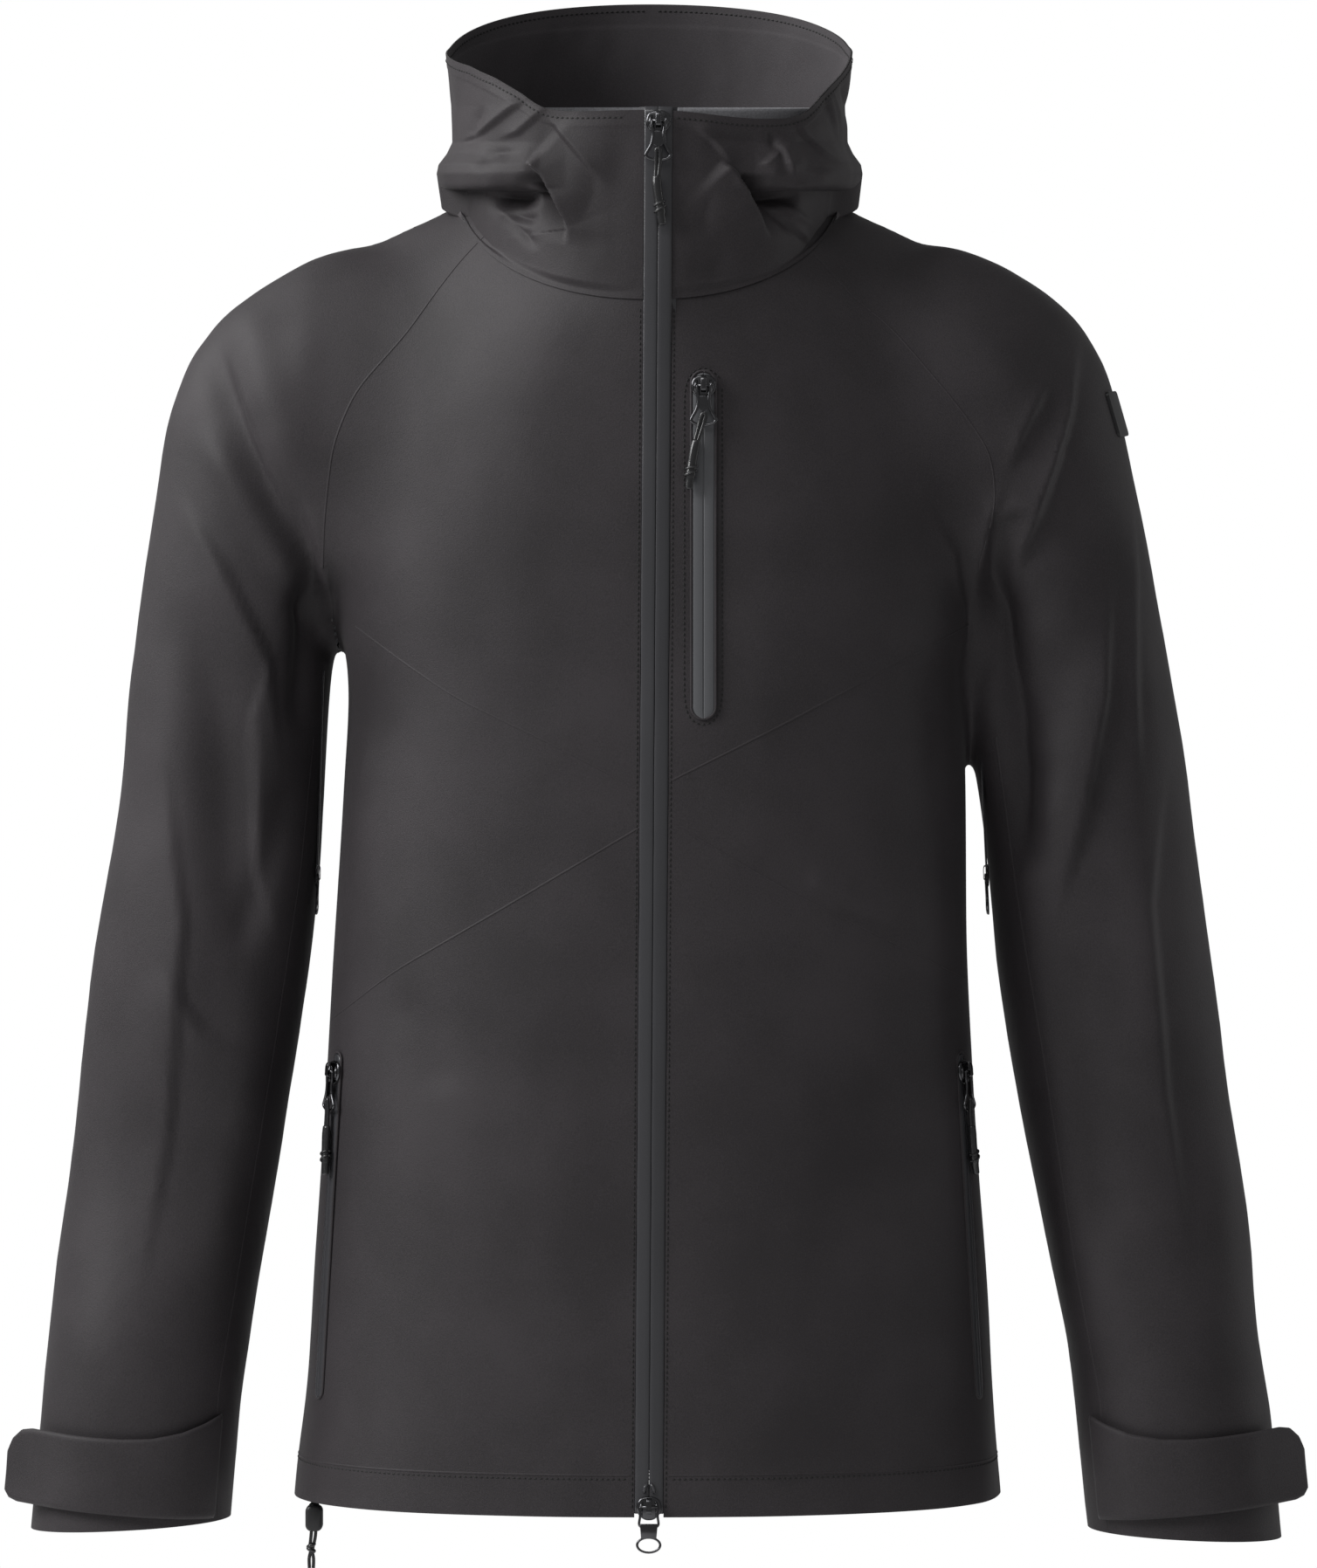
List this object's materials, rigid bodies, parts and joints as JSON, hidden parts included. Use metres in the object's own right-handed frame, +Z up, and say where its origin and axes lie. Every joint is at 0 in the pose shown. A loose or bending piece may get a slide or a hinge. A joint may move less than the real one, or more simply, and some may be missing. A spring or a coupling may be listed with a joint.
{
  "type": "hardshell jacket",
  "caption": "Hooded waterproof shell jacket with a two-way front zip, chest and hand pockets, underarm zips and cuff tabs",
  "frame": {"origin": "middle of the underside of the hanger loop inside the back neck, where the jacket hangs", "axes": "+Z up from hem to hood, -Y out of the front with its zip, +X towards the wearer's left sleeve"},
  "size_m": [0.7238, 0.2479, 0.8788],
  "materials": {
    "shell_fabric": "fine plain weave, matt, near black",
    "lining": "brushed light grey backer",
    "zip_tape": "satin water-shedding coating",
    "grey_zip_tape": "satin water-shedding coating, dark grey",
    "coil": "woven coil",
    "hardware": "glossy black",
    "cord": "braided cord with a moulded grip",
    "lock_plastic": "moulded black",
    "hook_and_loop": "hook and loop",
    "patch": "plain moulded patch"
  },
  "bodies": {
    "root": {"front_chest_right": "shell_fabric", "front_waist_right": "shell_fabric", "front_hem_right": "shell_fabric", "shoulder_right": "shell_fabric", "front_chest_left": "shell_fabric", "front_waist_left": "shell_fabric", "front_hem_left": "shell_fabric", "shoulder_left": "shell_fabric", "back_yoke": "shell_fabric", "back_body": "shell_fabric", "hood_centre": "shell_fabric", "hood_side_right": "shell_fabric", "hood_side_left": "shell_fabric", "collar_lining": "lining", "front_zip_tape_right": "zip_tape", "front_zip_tape_left": "zip_tape", "front_zip_coil": "coil", "front_zip_retainer": "hardware", "chest_zip_tape": "grey_zip_tape", "hand_right_zip_tape": "zip_tape", "hand_left_zip_tape": "zip_tape", "chest_pocket_bag": "lining", "hand_right_pocket_bag": "lining", "hand_left_pocket_bag": "lining", "hanger_loop": "lining"},
    "sleeve_right": {"sleeve_right": "shell_fabric", "under_sleeve_right": "shell_fabric", "pit_right_zip_tape": "zip_tape", "cuff_loop_patch_right": "hook_and_loop"},
    "sleeve_left": {"sleeve_left": "shell_fabric", "under_sleeve_left": "shell_fabric", "pit_left_zip_tape": "zip_tape", "cuff_loop_patch_left": "hook_and_loop", "sleeve_patch": "patch"},
    "cuff_tab_right": {"cuff_tab_right": "shell_fabric", "cuff_hook_patch_right": "hook_and_loop"},
    "pit_right_slider": {"pit_right_slider": "hardware"},
    "pit_right_pull": {"pit_right_pull": "hardware"},
    "hand_right_slider": {"hand_right_slider": "hardware"},
    "hand_right_pull": {"hand_right_pull": "hardware"},
    "hand_right_cord": {"hand_right_cord": "cord"},
    "cuff_tab_left": {"cuff_tab_left": "shell_fabric", "cuff_hook_patch_left": "hook_and_loop"},
    "pit_left_slider": {"pit_left_slider": "hardware"},
    "pit_left_pull": {"pit_left_pull": "hardware"},
    "hand_left_slider": {"hand_left_slider": "hardware"},
    "hand_left_pull": {"hand_left_pull": "hardware"},
    "hand_left_cord": {"hand_left_cord": "cord"},
    "top_slider": {"top_slider": "hardware"},
    "top_pull": {"top_pull": "hardware"},
    "top_cord": {"top_cord": "cord"},
    "bottom_slider": {"bottom_slider": "hardware"},
    "bottom_pull": {"bottom_pull": "hardware"},
    "chest_slider": {"chest_slider": "hardware"},
    "chest_pull": {"chest_pull": "hardware"},
    "chest_cord": {"chest_cord": "cord"},
    "hem_cord_lock": {"cord_lock_body": "lock_plastic", "hem_cord": "cord"},
    "cord_lock_button": {"cord_lock_button": "lock_plastic"}
  },
  "joints": [
    {"name": "sleeve_right_raise", "type": "hinge", "parent": "root", "child": "sleeve_right", "pos_m": [-0.241, -0.07, -0.043], "axis": [0, 1, 0], "range_deg": [0, 30]},
    {"name": "cuff_tab_right_open", "type": "hinge", "parent": "sleeve_right", "child": "cuff_tab_right", "pos_m": [-0.23863, -0.09871, -0.68375], "axis": [0.0784, 0, 0.9969], "range_deg": [0, 100]},
    {"name": "pit_right_zip", "type": "slide", "parent": "sleeve_right", "child": "pit_right_slider", "axis": [0.0317, 0, 0.9995], "range_m": [0, 0.105]},
    {"name": "pit_right_pull_lift", "type": "hinge", "parent": "pit_right_slider", "child": "pit_right_pull", "pos_m": [-0.18187, -0.074, -0.35514], "axis": [0, -1, 0], "range_deg": [0, 8]},
    {"name": "sleeve_left_raise", "type": "hinge", "parent": "root", "child": "sleeve_left", "pos_m": [0.241, -0.07, -0.043], "axis": [0, -1, 0], "range_deg": [0, 30]},
    {"name": "cuff_tab_left_open", "type": "hinge", "parent": "sleeve_left", "child": "cuff_tab_left", "pos_m": [0.24641, -0.09871, -0.68442], "axis": [0.0925, 0, -0.9957], "range_deg": [0, 100]},
    {"name": "pit_left_zip", "type": "slide", "parent": "sleeve_left", "child": "pit_left_slider", "axis": [-0.046, 0, 0.9989], "range_m": [0, 0.105]},
    {"name": "pit_left_pull_lift", "type": "hinge", "parent": "pit_left_slider", "child": "pit_left_pull", "pos_m": [0.18495, -0.074, -0.35521], "axis": [0, 1, 0], "range_deg": [0, 8]},
    {"name": "main_zip_top", "type": "slide", "parent": "root", "child": "top_slider", "axis": [-0.0068, -0.022, -0.9997], "range_m": [0, 0.33]},
    {"name": "top_pull_lift", "type": "hinge", "parent": "top_slider", "child": "top_pull", "pos_m": [0.00515, -0.17352, 0.05389], "axis": [-1, 0, 0.0068], "range_deg": [0, 150]},
    {"name": "top_cord_swing", "type": "hinge", "parent": "top_pull", "child": "top_cord", "pos_m": [0.00502, -0.17391, 0.03619], "axis": [-0.0002, 0.9998, -0.022], "range_deg": [-10, 10]},
    {"name": "main_zip_bottom", "type": "slide", "parent": "root", "child": "bottom_slider", "axis": [0.0068, 0.022, 0.9997], "range_m": [0, 0.33]},
    {"name": "bottom_pull_lift", "type": "hinge", "parent": "bottom_slider", "child": "bottom_pull", "pos_m": [0.00004, -0.18997, -0.69391], "axis": [-1, 0, 0.0068], "range_deg": [0, 150]},
    {"name": "chest_zip", "type": "slide", "parent": "root", "child": "chest_slider", "axis": [0, -0.022, -0.9998], "range_m": [0, 0.165]},
    {"name": "chest_pull_lift", "type": "hinge", "parent": "chest_slider", "child": "chest_pull", "pos_m": [0.0295, -0.17642, -0.08945], "axis": [-1, 0, 0], "range_deg": [0, 150]},
    {"name": "chest_cord_swing", "type": "hinge", "parent": "chest_pull", "child": "chest_cord", "pos_m": [0.0295, -0.17674, -0.10415], "axis": [0, 0.9998, -0.022], "range_deg": [-24, 2]},
    {"name": "hand_right_zip", "type": "slide", "parent": "root", "child": "hand_right_slider", "axis": [-0.0555, -0.0158, -0.9983], "range_m": [0, 0.165]},
    {"name": "hand_right_pull_lift", "type": "hinge", "parent": "hand_right_slider", "child": "hand_right_pull", "pos_m": [-0.17516, -0.11301, -0.46307], "axis": [-0.454, 0.891, 0.0111], "range_deg": [0, 80]},
    {"name": "hand_right_cord_swing", "type": "hinge", "parent": "hand_right_pull", "child": "hand_right_cord", "pos_m": [-0.17614, -0.11329, -0.48074], "axis": [0.8893, 0.4538, -0.0566], "range_deg": [-12, 12]},
    {"name": "hand_left_zip", "type": "slide", "parent": "root", "child": "hand_left_slider", "axis": [0.0555, -0.0158, -0.9983], "range_m": [0, 0.165]},
    {"name": "hand_left_pull_lift", "type": "hinge", "parent": "hand_left_slider", "child": "hand_left_pull", "pos_m": [0.17516, -0.11301, -0.46307], "axis": [-0.454, -0.891, -0.0111], "range_deg": [0, 80]},
    {"name": "hand_left_cord_swing", "type": "hinge", "parent": "hand_left_pull", "child": "hand_left_cord", "pos_m": [0.17614, -0.11329, -0.48074], "axis": [-0.8893, 0.4538, -0.0566], "range_deg": [-12, 12]},
    {"name": "hem_lock_swing", "type": "hinge", "parent": "root", "child": "hem_cord_lock", "pos_m": [-0.185, -0.1, -0.7], "axis": [0, 1, 0], "range_deg": [-18, 18]},
    {"name": "hem_lock_press", "type": "slide", "parent": "hem_cord_lock", "child": "cord_lock_button", "axis": [0, 1, 0], "range_m": [0, 0.002], "stiffness_N_per_m": 300}
  ]
}
